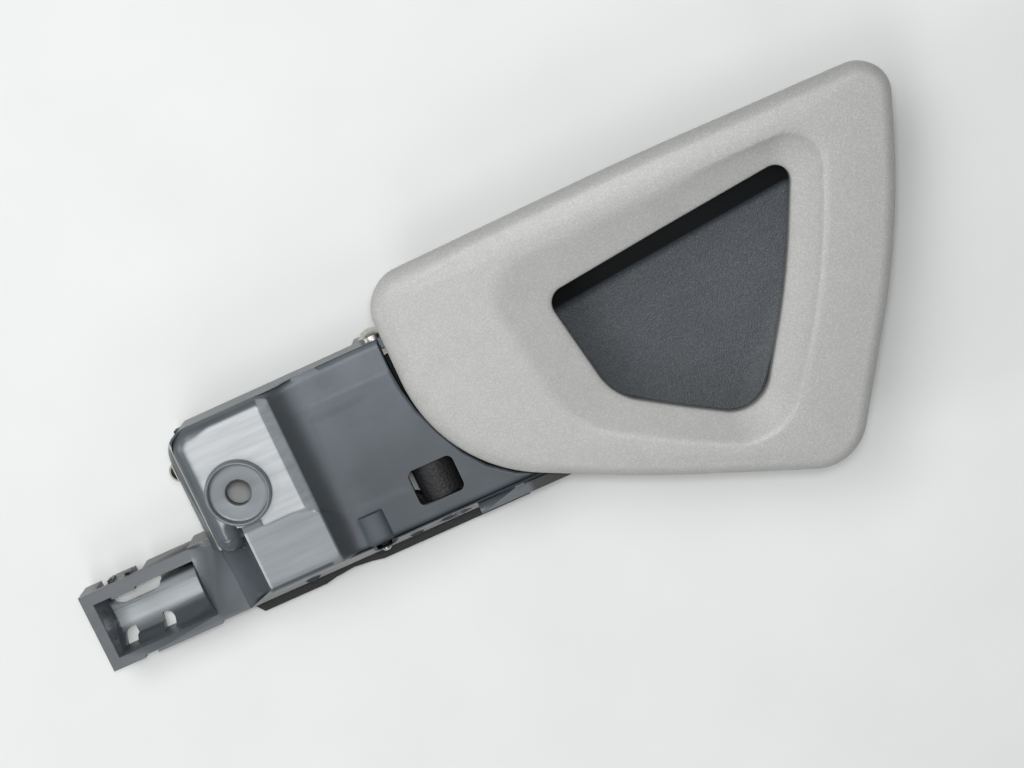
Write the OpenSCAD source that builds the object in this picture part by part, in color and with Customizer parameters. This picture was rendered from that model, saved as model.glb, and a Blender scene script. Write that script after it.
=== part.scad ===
// Car interior door handle: a painted pull lever on a moulded housing with a cable bracket.
// Origin: axis of the fixing hole at the back plane. +X runs to the lever's far end,
// +Z out of the door towards the hand.

/* [Housing] */
// Height of the raised block's face above the back plane
block_z = 31; // [29:0.5:33]
// Height of the flat panel's face
panel_z = 27; // [26.5:0.1:27.5]
// Height of the neck and of the cable bracket's rails
neck_z = 15; // [14:0.5:17]
// Left edge of the raised block
block_left = -10.6; // [-11.5:0.1:-9.8]
// Right end of the raised block's face
block_right = 13; // [12:0.5:14]
// Straight upper side of the housing
side_top = 19.2; // [18.5:0.1:20]
// Lower side of the housing, measured at its widest
side_low = -30.2; // [-31:0.1:-29.5]
// How far the lower side leans in up to the panel
low_lean = 3.5; // [2.5:0.1:4.5]
// Height of the side walls' lower edge
foot_z = 6; // [5:0.5:8]
// Thickness of the housing's walls
wall = 2.5; // [2:0.1:3]
// Rounding along the block's edges
edge_r = 3; // [2:0.25:3.5]
// Rounding along the panel's edge
panel_edge_r = 1.6; // [1:0.1:2]
// Rounding of the block's upper left corner, seen from above
corner_r = 5.5; // [4:0.5:7]
// How far the block's left wall flares out below its rounded edge
ledge_w = 3.2; // [2.4:0.1:3.4]

/* [Fixing boss] */
// Diameter of the fixing hole
fix_hole_d = 6.2; // [5:0.1:7]
// Outer diameter of the ring round the screw head's recess
ring_d = 17.4; // [16.8:0.1:18]
// Diameter of the recess inside the ring
recess_d = 14.7; // [13.5:0.1:15.5]
// Height of the ring above the block's face
ring_h = 2; // [1:0.1:2.5]
// Thickness of the web that the fixing hole goes through
web_t = 2.5; // [2:0.1:3.5]
// Height of the boss tube's lower end
tube_foot = 12; // [8:0.5:16]

/* [Cable bracket] */
// Length of the cable bracket, to the neck
bracket_l = 30; // [28:0.5:34]
// Outer width of the cable bracket
bracket_w = 20.5; // [20:0.1:21]
// Inner radius of the trough that holds the cable's ferrule
trough_r = 7.4; // [7:0.1:7.8]
// Wall under the trough
trough_wall = 2; // [1.5:0.1:2.5]
// Thickness of the bracket's end plate
end_plate_t = 2.7; // [2:0.1:4]
// Diameter of the conduit hole in the end plate
conduit_d = 8; // [7:0.1:10]
// Length of the openings in the trough round the ferrule's catch
slot_l = 14; // [12:0.5:15]
// Diameter of the wire hole through the neck
wire_d = 5; // [4:0.1:6]
// Length of the neck between bracket and block
neck_l = 10.5; // [9:0.5:12]

/* [Hinge] */
// Place of the hinge axis along the handle
hinge_x = 43.6; // [43:0.1:44.4]
// Height of the hinge axis
hinge_z = 20.5; // [20:0.1:21]
// Diameter of the hinge pin
pin_d = 3.8; // [3.2:0.1:4]
// Running clearance round the pin, on the radius
pin_gap = 0.05; // [0.03:0.01:0.1]
// Outer diameter of the lever's hinge barrel
barrel_d = 6.6; // [6.2:0.1:7]
// Outer diameter of the thick, grained length of barrel
drum_d = 10.4; // [9.6:0.1:11]
// Length of the panel's window over the drum, along the handle
window_l = 11.7; // [11.4:0.1:12]
// Width of the same window, across the handle
window_w = 9.2; // [8.8:0.1:9.6]
// Centre of the window across the handle
window_y = -17.6; // [-18:0.1:-17]
// Diameter of the spring's wire
wire_spring_d = 1.3; // [1:0.1:1.4]
// Turns of the return spring
spring_turns = 5; // [3:1:5]
// Diameter of the second pin, which anchors the spring
anchor_d = 2.4; // [2:0.1:2.6]

/* [Lever] */
// Length of the lever along the handle
lever_l = 130.3; // [126:0.1:135]
// Width of the lever across the handle
lever_w = 86.8; // [83:0.2:90]
// Height of the lever's crowned rim
lever_z = 36.8; // [36:0.1:38]
// Height of the skirt's lower edge
skirt_z = 28.5; // [28.3:0.1:29.5]
// Thickness of the lever's shell
shell_t = 2.2; // [1.8:0.1:2.6]
// Depth of the dish round the finger opening
dish_depth = 3; // [2:0.1:3.5]
// Edge rounding of the lever's rim
rim_r = 4; // [3:0.25:5]
// Angle through which the lever opens
lever_travel = 36; // [30:1:36]

/* [Finger cup] */
// Height of the cup's floor
cup_floor_z = 9.5; // [8:0.5:12]
// Height of the flange round the cup
flange_z = 25; // [24:0.5:25.5]
// How far the flange stays inside the lever's outline
flange_inset = 3.5; // [3:0.1:5]
// Thickness of the cup's walls
cup_t = 2.4; // [2:0.1:3]
// How far the cup's walls lean in down to the floor
cup_lean = 6; // [4:0.5:7]

/* [Hidden] */
$fn = 48;

slate = [0.36, 0.40, 0.44];
paint = [0.74, 0.74, 0.72];
black = [0.06, 0.06, 0.065];
steel = [0.72, 0.73, 0.75];
nylon = [0.80, 0.78, 0.70];
seat_gap = 0.3;
eps = 0.01;

neck_right = -10.5;
bracket_right = neck_right - neck_l;
bracket_left = bracket_right - bracket_l;
bracket_low = -30.8;
bracket_top = bracket_low + bracket_w;
cable_y = -20.7;
cable_z = trough_r + trough_wall;
face_low = -25.5;
lean_y = side_low + low_lean;
inner_top = side_top - wall;
inner_low = side_low + wall;
ceiling_block = block_z - wall;
ceiling_panel = panel_z - wall;
bay_right = 60;
lever_left = 46.9;
valley_start = block_right + 2.4;
valley_end = 23;
facet_drop = 0.9;
step_y = -9.3;
step_depth = 0.3;
lower_face_left = -2.4;
slope_left = -13;
ledge_left = block_left - ledge_w;
ledge_z = 20.5;
top_step = 1.1;
anchor_x = 25.2;
anchor_z = hinge_z + 1.1;
bump_x = 25.8;
bump_r = 3.4;
bump_z = panel_z + 0.8 - bump_r;
boss_end = -18.2;
bush_r = barrel_d / 2 - 0.1;
bush_flange_t = 1;
bush_flange_r = 3.8;
end_play = 0.05;
notch_y = lean_y + 0.3;
low_boss_y = lean_y + wall;
top_boss_y = inner_top - 0.2;
washer_t = 0.6;
barrel_low = low_boss_y + bush_flange_t + end_play;
barrel_top = top_boss_y - bush_flange_t - washer_t - 2 * end_play;
spring_low = window_y + window_w / 2 + 0.6;
spring_pitch = wire_spring_d + 0.15;
spring_turn = spring_turns * 360 + 40;
spring_high = spring_low + spring_pitch * spring_turn / 360 + wire_spring_d;
coil_r = pin_d / 2 + 0.25 + wire_spring_d / 2;
hook_x = hinge_x + 0.4;
hook_r = 3.2;
stop_pad_t = 1.5;
stop_pad_x = hinge_x + 0.4 * cos(lever_travel) + (hinge_z - cable_z) * sin(lever_travel)
    + hook_r + seat_gap;
plate_z = skirt_z + 0.5;
plate_t = 2;

// Points of an arc
function arc(cx, cy, r, a0, a1, n) =
    [for (i = [0:n]) [cx + r * cos(a0 + (a1 - a0) * i / n), cy + r * sin(a0 + (a1 - a0) * i / n)]];

// Rounded outline from corners [x, y, radius], anticlockwise, moved inwards by inset
function unit(v) = v / norm(v);
function corner_pts(a, b, c, inset, n) =
    let (u = unit([a[0] - b[0], a[1] - b[1]]), v = unit([c[0] - b[0], c[1] - b[1]]),
        w = unit(u + v), half = acos(u * v) / 2, mid = [b[0], b[1]] + w * b[2] / sin(half),
        start = atan2(-(mid - ([b[0], b[1]] + u * b[2] / tan(half)))[1],
            -(mid - ([b[0], b[1]] + u * b[2] / tan(half)))[0]), turn = 180 - 2 * half)
    [for (i = [0:n]) mid + (b[2] - inset) * [cos(start + turn * i / n), sin(start + turn * i / n)]];
function rounded(cs, inset = 0, n = 8) =
    [for (k = [0:len(cs) - 1])
        each corner_pts(cs[(k + len(cs) - 1) % len(cs)], cs[k], cs[(k + 1) % len(cs)], inset, n)];

// The same outline with the straight runs between corners divided as well
function spaced(cs, inset, n, m) =
    let (p = rounded(cs, inset, n), c = len(p))
    [for (i = [0:c - 1]) each (i % (n + 1) == n)
        ? [for (j = [0:m - 1]) p[i] + (p[(i + 1) % c] - p[i]) * j / m] : [p[i]]];

// Puts points drawn for a lever 130.3 long and 86.8 wide at their places in this one
function fitted(cs) = [for (c = cs) [lever_left + (c[0] - lever_left) * lever_l / 130.3,
    c[1] * lever_w / 86.8, c[2]]];

// Corners of the lever's outline, of its dish, of its finger opening and of the cup
lever_corners = fitted([[47, 34.2, 9.5], [46.8, -14.6, 37], [92, -36.2, 300], [138, -55.4, 15],
    [167, -5.5, 250], [181.1, 34.4, 9.5], [115, 35.5, 900]]);
dish_corners = fitted([[73, 25, 12], [80, -18.5, 22], [101, -32, 200], [121.5, -43.5, 15],
    [147.5, -6.5, 180], [161, 25.2, 9], [117, 25.5, 900]]);
opening_corners = fitted([[85.6, 14.3, 4.5], [90.4, -14, 14], [105, -23.4, 300],
    [120.5, -33.3, 10], [138.8, -4.8, 180], [150.2, 20.8, 4.5], [117, 17.8, 900]]);
cup_corners = fitted([[67, 21, 8.5], [79, -17.5, 15], [121, -43, 13], [150, -8, 150],
    [163, 24.5, 8.5]]);

// Extrudes an X-Z profile across the handle
module across(y0, y1) {
    translate([0, y1, 0]) rotate([90, 0, 0]) linear_extrude(y1 - y0) children();
}

// Extrudes a Y-Z profile along the handle
module along(x0, x1) {
    translate([x0, 0, 0]) rotate([90, 0, 90]) linear_extrude(x1 - x0) children();
}

// Round bar across the handle
module rod(x, z, r, y0, y1) {
    translate([x, y0, z]) rotate([-90, 0, 0]) cylinder(r = r, h = y1 - y0);
}

// Round bar along the handle
module bar(y, z, r, x0, x1) {
    translate([x0, y, z]) rotate([0, 90, 0]) cylinder(r = r, h = x1 - x0);
}

module box(x0, x1, y0, y1, z0, z1) {
    translate([x0, y0, z0]) cube([x1 - x0, y1 - y0, z1 - z0]);
}

// Housing seen from above: rounded upper left corner, curved edge beside the lever
module plan() {
    polygon(concat(
        arc(block_left + corner_r, side_top - corner_r, corner_r, 90, 180, 8),
        arc(block_left + edge_r, -12 + edge_r, edge_r, 180, 270, 6),
        [[lower_face_left - 1, -12], [lower_face_left - 1, side_low], [70, side_low], [69.5, -27.4],
            [62, -23.6], [56.5, -19.2], [52.5, -14], [49.5, -8], [46.5, 0], [45.3, 6],
            [44.9, 11], [44.9, side_top]]));
}

// Falls softly from the block's facet to the panel
function valley_z(t) = panel_z + (block_z - facet_drop - panel_z) * (1 + cos(180 * t)) / 2;

module block_profile(left) {
    polygon(concat([[left, foot_z]],
        arc(left + edge_r, block_z - edge_r, edge_r, 180, 90, 6),
        [[block_right, block_z]],
        [for (i = [0:10]) [valley_start + (valley_end - valley_start) * i / 10, valley_z(i / 10)]],
        [[valley_end, foot_z]]));
}

module block_section() {
    polygon(concat([[side_top, foot_z]], arc(side_top - edge_r, block_z - edge_r, edge_r, 0, 90, 6),
        arc(face_low + edge_r, block_z - edge_r, edge_r, 90, 170, 6),
        [[side_low, neck_z], [side_low, foot_z]]));
}

module panel_section() {
    r = panel_edge_r;
    polygon(concat([[side_top, foot_z]], arc(side_top - r, panel_z - r, r, 0, 90, 5),
        arc(lean_y + r / 2, panel_z - r / 2, r / 2, 90, 165, 4),
        [[side_low, neck_z], [side_low, foot_z]]));
}

// Flared foot of the block's left wall
module ledge() {
    r = corner_r + ledge_w;
    intersection() {
        across(-12, side_top) polygon([[ledge_left, foot_z], [ledge_left, ledge_z],
            [block_left - 0.2, ledge_z + 6], [block_left + 2.4, ledge_z + 6],
            [block_left + 2.4, foot_z]]);
        linear_extrude(50) polygon(concat(
            arc(ledge_left + r, side_top - r, r, 90, 180, 8),
            [[ledge_left, -12], [0, -12], [0, side_top]]));
    }
}

module outer_body() {
    intersection() {
        across(-40, 40) block_profile(block_left);
        along(-20, 60) block_section();
        linear_extrude(50) plan();
    }
    intersection() {
        across(-40, 40) polygon([[valley_start, foot_z], [valley_start, panel_z], [80, panel_z],
            [80, foot_z]]);
        along(0, 80) panel_section();
        linear_extrude(50) plan();
    }
}

// Ramp from the neck up to the block's lower face
module ramp() {
    intersection() {
        across(side_low, -12) polygon([[slope_left - 1, foot_z], [slope_left - 1, neck_z],
            [slope_left, neck_z], [lower_face_left - 0.8, block_z - 1.4],
            [lower_face_left + 0.5, block_z - step_depth], [lower_face_left + 0.5, foot_z]]);
        along(-20, 5) union() {
            block_section();
            polygon([[0, 0], [0, neck_z], [side_low, neck_z], [side_low, 0]]);
        }
    }
}

module inner_space() {
    intersection() {
        union() {
            box(block_left + wall, 12, step_y + wall, inner_top, 0, ceiling_block);
            box(lower_face_left + 2.6, 12, inner_low, inner_top, 0, ceiling_block - step_depth);
            box(0, bay_right, inner_low, inner_top, 0, ceiling_panel);
        }
        along(-20, 80) polygon([[inner_top, 0], [inner_top, 40], [face_low + wall, 40],
            [face_low + wall, ceiling_block], [lean_y + wall, ceiling_panel],
            [inner_low, neck_z], [inner_low, 0]]);
    }
}

// Open-topped bracket with a half-round trough for the cable's ferrule
module bracket() {
    slot_x = bracket_left + end_plate_t + 1.1;
    slot_end = slot_x + slot_l;
    inner_left = bracket_left + end_plate_t;
    groove_y = cable_y + 4;
    catch_y = cable_y - 3.6;
    difference() {
        union() {
            box(bracket_left, bracket_right + eps, bracket_low, bracket_top, cable_z - 0.6, neck_z);
            bar(cable_y, cable_z, cable_z, bracket_left, bracket_right + eps);
            // Upper side wall, which reaches lower than the other
            along(bracket_left, bracket_right + eps) polygon([[bracket_top, neck_z],
                [bracket_top, 4.2], [bracket_top - 2, 4.2], [bracket_top - 3, 0.2],
                [cable_y, 0.2], [cable_y, neck_z]]);
        }
        bar(cable_y, cable_z, trough_r, inner_left, bracket_right);
        box(inner_left, bracket_right, cable_y - trough_r, cable_y + trough_r, cable_z, neck_z + 1);
        box(bracket_left - 1, bracket_right, cable_y - cable_z - 1, cable_y + cable_z + 1,
            neck_z, 2 * cable_z + 1);
        bar(cable_y, cable_z, conduit_d / 2, bracket_left - 1, inner_left + 1);
        // Groove between the trough and the upper rail
        box(inner_left + 0.3, bracket_right, groove_y, cable_y + trough_r, 1.2, cable_z + 1);
        // Opening with rounded corners through the trough's upper side
        translate([0, 0, -1]) linear_extrude(cable_z + 1) polygon(concat(
            [[slot_end, cable_y + trough_r], [slot_x, cable_y + trough_r]],
            arc(slot_x + 3, cable_y + 5.2, 3, 180, 270, 5),
            arc(slot_end - 3, cable_y + 5.2, 3, 270, 360, 5)));
        // Side windows on both sides of the catch
        for (x = [slot_x + 0.6, slot_end - 3.8])
            box(x, x + 3.2, cable_y + trough_r - 1, bracket_top + 1, -1, neck_z - 2.2);
        // Windows on both sides of the locking tongue in the lower side
        translate([0, 0, -1]) linear_extrude(cable_z + 1) {
            polygon(concat([[slot_x + 3, catch_y], [slot_x + 3, cable_y - trough_r],
                [slot_x - 0.4, cable_y - trough_r]], arc(slot_x + 2, catch_y - 2.4, 2.4, 180, 90, 5)));
            polygon(concat([[slot_end - 3.6, catch_y], [slot_end - 3.6, cable_y - trough_r],
                [slot_end - 0.4, cable_y - trough_r]], arc(slot_end - 2.8, catch_y - 2.4, 2.4, 0, 90, 5)));
        }
        // Pocket at the tongue's end
        box(slot_x + 3 - eps, slot_end - 3.6 + eps, catch_y - 2.3, catch_y, trough_wall + 0.6, cable_z);
        box(slot_x + slot_l / 2 - 2, slot_x + slot_l / 2 + 1.5, bracket_low - 1, bracket_low + 0.6,
            cable_z - 1, neck_z + 1);
    }
    // Catch nubs on the upper rail and its lip over the opening
    for (x = [slot_x + 3.9, slot_end - 5.4])
        box(x, x + 1.6, bracket_top - eps, bracket_top + 0.5, neck_z - 7, neck_z - 3);
    box(slot_x + 3.8, slot_end - 3.8, cable_y + trough_r - 0.6, cable_y + trough_r + eps,
        neck_z - 2.2, neck_z);
}

module neck() {
    difference() {
        union() {
            box(bracket_right, slope_left, bracket_low + 0.6, bracket_top + 0.4, 1.5, neck_z);
            box(slope_left - eps, block_left + 1, -12.5, bracket_top + 0.4, 1.5, neck_z);
            box(slope_left - 1, lower_face_left - 0.5, side_low, -11, 1.5, neck_z);
        }
        box(neck_right, lower_face_left + 1, side_low - 1, 0, 0, foot_z);
    }
}

module boss() {
    difference() {
        union() {
            translate([0, 0, block_z - edge_r]) cylinder(d = ring_d, h = edge_r + ring_h);
            translate([0, 0, tube_foot]) cylinder(d = ring_d - 1.8, h = block_z - tube_foot);
        }
        translate([0, 0, block_z]) cylinder(d = recess_d, h = ring_h + 1);
        translate([0, 0, tube_foot - 1])
            cylinder(d = ring_d - 1.8 - 2 * wall, h = block_z - web_t - tube_foot + 1);
    }
}

screw_y_top = inner_top - 3.2;
screw_y_low = inner_low + 1.5;
frame_screw_pts = [[-4.6, screw_y_top], [31, screw_y_top], [5, screw_y_low], [33, screw_y_low]];
frame_boss_r = 3.4;
screw_d = 2.6;
screw_head_d = 5;
screw_head_h = 1.4;
screw_gap = 0.3;
frame_t = 4;
frame_top = inner_top;
frame_low = side_low - 4;

module cup_outside() {
    hull() {
        translate([0, 0, cup_floor_z - cup_t]) linear_extrude(1)
            polygon(rounded(cup_corners, cup_lean + 1.5 - cup_t));
        translate([0, 0, cup_floor_z + 2]) linear_extrude(1)
            polygon(rounded(cup_corners, cup_lean - cup_t));
        translate([0, 0, flange_z - 1]) linear_extrude(1) polygon(rounded(cup_corners, -cup_t));
    }
}

module cup_inside() {
    hull() {
        translate([0, 0, cup_floor_z]) linear_extrude(0.5)
            polygon(rounded(cup_corners, cup_lean + 1.5));
        translate([0, 0, cup_floor_z + 2]) linear_extrude(0.5)
            polygon(rounded(cup_corners, cup_lean - 0.3));
        translate([0, 0, flange_z]) linear_extrude(1) polygon(rounded(cup_corners, 0));
    }
}

stop_pts = fitted([[161.5, 8, 0], [133, -41.7, 0]]);
stop_r = 2.6;

module cup() {
    difference() {
        union() {
            cup_outside();
            translate([0, 0, flange_z - cup_t]) linear_extrude(cup_t) difference() {
                polygon(rounded(lever_corners, flange_inset));
                translate([0, -60]) square([bay_right, 120]);
            }
            // Side walls of the hinge bay and the lower left corner under the lever
            box(44.9 - eps, bay_right + 10, inner_top, side_top, foot_z, flange_z);
            box(50, 76, side_low, inner_low, foot_z, flange_z - 1);
            box(bay_right, bay_right + cup_t, inner_low, inner_top, foot_z, flange_z);
            // Ribs under the cup, which the handle rests on
            for (y = [-20, 4])
                box(84 - y * 0.2, 140 + y * 0.5, y - 1, y + 1, 0, cup_floor_z - 0.5);
            for (x = [92, 112, 132])
                box(x - 1, x + 1, x < 100 ? -20 : -28, x < 100 ? 4 : 10, 0, cup_floor_z - 0.5);
        }
        cup_inside();
        for (p = stop_pts)
            translate([p[0], p[1], flange_z - 5]) cylinder(d = 3.2, h = 6);
    }
}

module housing() {
    color(slate) difference() {
        union() {
            difference() {
                union() {
                    outer_body();
                    ledge();
                    ramp();
                }
                inner_space();
                // Lower half of the block's face lies a little deeper
                box(lower_face_left - 5, valley_start - 0.5, -40, step_y, block_z - step_depth,
                    block_z + 1);
                // Shallow pocket in the panel and the fine step under the lever's hinge
                translate([0, 0, panel_z - 0.15]) linear_extrude(2) polygon(concat(
                    arc(36.5 - 4, 8 - 4, 4, 0, 90, 5), arc(valley_end + 4, 8 - 4, 4, 90, 180, 5),
                    arc(valley_end + 4, -16.5 + 4, 4, 180, 270, 5),
                    arc(36.5 - 4, -16.5 + 4, 4, 270, 360, 5)));
                box(24.3, 44.5, 11.3, side_top + 1, panel_z - 0.12, panel_z + 1);
            }
            bracket();
            neck();
            boss();
            cup();
            // Half-round bump and boss of the second pin
            rod(bump_x, bump_z, bump_r, lean_y - 0.6, boss_end);
            rod(anchor_x, anchor_z, anchor_d / 2 + 1.8, lean_y - 1.4, boss_end);
            // Hinge bosses inside the two side walls
            rod(hinge_x, hinge_z, bush_r + 1.6, top_boss_y, side_top);
            rod(hinge_x, hinge_z, bush_r + 1.6, notch_y, low_boss_y);
            for (p = frame_screw_pts)
                translate([p[0], p[1], foot_z]) cylinder(r = frame_boss_r, h = neck_z + 4 - foot_z);
            // Rib that carries the cable arm's stop
            box(stop_pad_x + stop_pad_t, bay_right + 0.5, cable_y - 3, cable_y + 3, foot_z, 15);
        }
        // Fixing hole, and the step in the upper wall's lower half
        translate([0, 0, block_z - web_t - 1]) cylinder(d = fix_hole_d, h = web_t + 2);
        box(ledge_left - 1, hinge_x - 6, side_top - top_step, side_top + 1, foot_z - 1, ledge_z);
        // Window over the barrel
        box(hinge_x - window_l / 2, hinge_x + window_l / 2, window_y - window_w / 2,
            window_y + window_w / 2, ceiling_panel - 3, panel_z + 2);
        // Level band beside the half-round bump
        box(valley_start + 3.2, valley_end + 0.1, -40, boss_end + 1.2, panel_z + 0.5, block_z);
        // Holes for the hinge pin's bushes and half-round notch for its retainer
        rod(hinge_x, hinge_z, bush_r, top_boss_y - 1, side_top + 1);
        rod(hinge_x, hinge_z, bush_r, side_low - 1, low_boss_y + 1);
        rod(hinge_x, hinge_z, bush_r + 1.2, side_low - 1, notch_y);
        rod(anchor_x, anchor_z, anchor_d / 2 + 0.02, side_low - 1, boss_end + 1);
        bar(cable_y, cable_z, wire_d / 2, bracket_right - 5, 4);
        for (p = frame_screw_pts)
            translate([p[0], p[1], foot_z - 1]) cylinder(d = screw_d, h = 9);
    }
}

// Black moulded frame on the housing's back
module back_frame() {
    color(black) difference() {
        translate([0, 0, foot_z - frame_t]) linear_extrude(frame_t) difference() {
            polygon([[slope_left, frame_top], [slope_left, -12], [-14.5, side_low - 0.8],
                [-12, frame_low], [5, frame_low], [8, frame_low + 0.6], [13, frame_low + 1.1],
                [18, frame_low + 0.6], [21, frame_low], [61, frame_low], [64.5, frame_low + 2.7],
                [64.5, -28], [59, -28], [59, frame_top]]);
            difference() {
                polygon([[-9.6, frame_top - 3.4], [-9.6, -24], [56, -24], [56, frame_top - 3.4]]);
                for (p = frame_screw_pts)
                    translate(p) circle(r = frame_boss_r + 1);
            }
            translate([slope_left - 4, side_low - 0.9]) square([neck_right + 4.2 - slope_left, 22.1]);
        }
        for (p = frame_screw_pts)
            translate([p[0], p[1], 0]) cylinder(d = screw_d + 2 * screw_gap, h = foot_z + 1);
    }
}

// Pan-head screw, its head's underside at z = 0, shank upwards
module screw(length) {
    translate([0, 0, -screw_head_h]) difference() {
        cylinder(d = screw_head_d, h = screw_head_h);
        translate([0, 0, -eps]) linear_extrude(screw_head_h * 0.6) {
            square([screw_head_d * 0.6, screw_head_d * 0.14], center = true);
            square([screw_head_d * 0.14, screw_head_d * 0.6], center = true);
        }
    }
    translate([0, 0, -eps]) cylinder(d = screw_d - 0.04, h = length);
}

module frame_screws() {
    color(steel) for (p = frame_screw_pts)
        translate([p[0], p[1], foot_z - frame_t]) screw(frame_t + 6);
}

retainer_t = 0.6;
pin_end_y = notch_y - retainer_t - 0.7;
head_r = 3.3;

module hinge_pin() {
    color(steel) {
        rod(hinge_x, hinge_z, pin_d / 2, pin_end_y, side_top + eps);
        intersection() {
            translate([hinge_x, side_top - 1.4, hinge_z]) sphere(r = 4.1);
            rod(hinge_x, hinge_z, head_r, side_top, side_top + 3);
        }
    }
}

module pin_retainer() {
    color(steel) difference() {
        rod(hinge_x, hinge_z, bush_r + 0.5, notch_y - retainer_t, notch_y);
        rod(hinge_x, hinge_z, pin_d / 2, notch_y - 1, notch_y + 1);
    }
}

// Flanged bush for the pin in a side wall
module bush(y0, y1, flange_y) {
    color(nylon) difference() {
        union() {
            rod(hinge_x, hinge_z, bush_r, y0, y1);
            rod(hinge_x, hinge_z, bush_flange_r, flange_y, flange_y + bush_flange_t);
        }
        rod(hinge_x, hinge_z, pin_d / 2 + pin_gap, y0 - 1, y1 + 1);
    }
}

module bush_upper() {
    bush(top_boss_y - bush_flange_t, side_top, top_boss_y - bush_flange_t);
}

module bush_lower() {
    bush(notch_y, low_boss_y + bush_flange_t, low_boss_y);
}

module spring_pin() {
    color(steel) {
        rod(anchor_x, anchor_z, anchor_d / 2, side_low + 1.4, spring_low + 2.5);
        intersection() {
            translate([anchor_x, side_low + 2.2, anchor_z]) sphere(r = 1.45);
            rod(anchor_x, anchor_z, anchor_d / 2, side_low, side_low + 1.5);
        }
    }
}

// Tube along a list of points, closed at both ends
function cross_pts(p, d, r, sides) =
    let (a = unit(cross(d, [0, 1, 0])), b = cross(a, d))
    [for (k = [0:sides - 1]) p + r * (cos(360 * k / sides) * a + sin(360 * k / sides) * b)];
module tube(path, r, sides) {
    c = len(path);
    rings = [for (i = [0:c - 1])
        each cross_pts(path[i], unit(path[min(i + 1, c - 1)] - path[max(i - 1, 0)]), r, sides)];
    polyhedron(rings, concat([[for (k = [0:sides - 1]) k]],
        [for (i = [0:c - 2]) for (k = [0:sides - 1])
            [i * sides + k, (i + 1) * sides + k, (i + 1) * sides + (k + 1) % sides,
                i * sides + (k + 1) % sides]],
        [[for (k = [sides - 1:-1:0]) (c - 1) * sides + k]]));
}

// Torsion spring: one leg over the second pin, the other on the lever's beam
module return_spring() {
    steps = 14;
    y0 = spring_low + wire_spring_d / 2;
    n = round(spring_turn / 360 * steps);
    coil = [for (i = [0:n]) let (a = 90 - spring_turn * i / n)
        [hinge_x + coil_r * cos(a), y0 + spring_pitch * spring_turn / 360 * i / n,
            hinge_z + coil_r * sin(a)]];
    on_pin = [anchor_x - 1.5, y0, anchor_z + anchor_d / 2 + wire_spring_d / 2 + 0.1];
    on_beam = [beam_x, coil[n][1] + 0.1, beam_z + beam_r + wire_spring_d / 2 + seat_gap];
    color(steel) tube(concat([on_pin], coil, [on_beam]), wire_spring_d / 2, 8);
}

// Spring-steel clip: a bowed loop on the left wall
module edge_clip() {
    clip_r = 2.7;
    clip_t = 0.4;
    clip_sunk = 1.1;
    color(steel) translate([ledge_left, 9, 14]) linear_extrude(6) difference() {
        intersection() {
            translate([clip_sunk, 0]) circle(r = clip_r);
            translate([-2 * clip_r, -clip_r]) square(2 * clip_r);
        }
        intersection() {
            translate([clip_sunk, 0]) circle(r = clip_r - clip_t);
            translate([-2 * clip_r - clip_t, -clip_r]) square(2 * clip_r);
        }
    }
}

module rest_stops() {
    color(black) for (p = stop_pts)
        translate([p[0], p[1], flange_z]) {
            cylinder(r1 = stop_r, r2 = stop_r - 0.8, h = lever_z - shell_t - 0.2 - seat_gap - flange_z);
            translate([0, 0, -cup_t]) cylinder(d = 3.1, h = cup_t + eps);
        }
}

module travel_stop() {
    color(black) box(stop_pad_x, stop_pad_x + stop_pad_t, cable_y - 2.5, cable_y + 2.5, 8, 14.5);
}

// Point loops of the lever's shell, from the skirt over the rim and dish to the opening
function lift(loop, z) = [for (p = loop) [p[0], p[1], z]];
function mix(a, b, t) = [for (i = [0:len(a) - 1]) a[i] + (b[i] - a[i]) * t];
loop_n = 7;
loop_m = 3;
function lever_loop(inset) = spaced(lever_corners, inset, loop_n, loop_m);
function dish_loop(inset) = spaced(dish_corners, inset, loop_n, loop_m);
function opening_loop(inset) = spaced(opening_corners, inset, loop_n, loop_m);

module lever_skin() {
    crown = lever_z;
    deep = lever_z - dish_depth;
    t = shell_t;
    rings = concat(
        [lift(lever_loop(0.3), skirt_z), lift(lever_loop(0), skirt_z + 0.5)],
        [for (a = [0:18:72]) lift(lever_loop(rim_r * (1 - cos(a))), crown - rim_r * (1 - sin(a)) - 0.2)],
        [lift(lever_loop(rim_r + 1.5), crown)],
        [lift(mix(lever_loop(rim_r), dish_loop(0), 0.6), crown + 0.2)],
        [for (s = [0:0.25:1]) lift(mix(dish_loop(0), opening_loop(0), s * 0.62),
            crown - dish_depth * (1 - cos(180 * s)) / 2)],
        [lift(opening_loop(-1.6), deep), lift(opening_loop(-0.5), deep - 0.4),
            lift(opening_loop(0), deep - 1.4), lift(opening_loop(0), deep - 4.5),
            lift(opening_loop(-t), deep - 4.5), lift(opening_loop(-t), deep - t)],
        [lift(mix(dish_loop(0), opening_loop(0), 0.55), deep - t)],
        [lift(dish_loop(-0.5), crown - t)],
        [lift(lever_loop(rim_r + 1), crown - t - 0.2), lift(lever_loop(t + 0.6), crown - t - 2.2),
            lift(lever_loop(t), skirt_z)]);
    c = len(rings);
    k = len(rings[0]);
    polyhedron([for (r = rings) each r],
        [for (i = [0:c - 1]) for (j = [0:k - 1]) for (h = [0, 1])
            let (a = i * k + j, b = i * k + (j + 1) % k, d = ((i + 1) % c) * k + j,
                e = ((i + 1) % c) * k + (j + 1) % k)
            h == 0 ? [a, d, b] : [b, d, e]]);
}

shell_screw_pts = fitted([[58, 22, 0], [60, -8, 0], [74, 27, 0]]);

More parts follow.
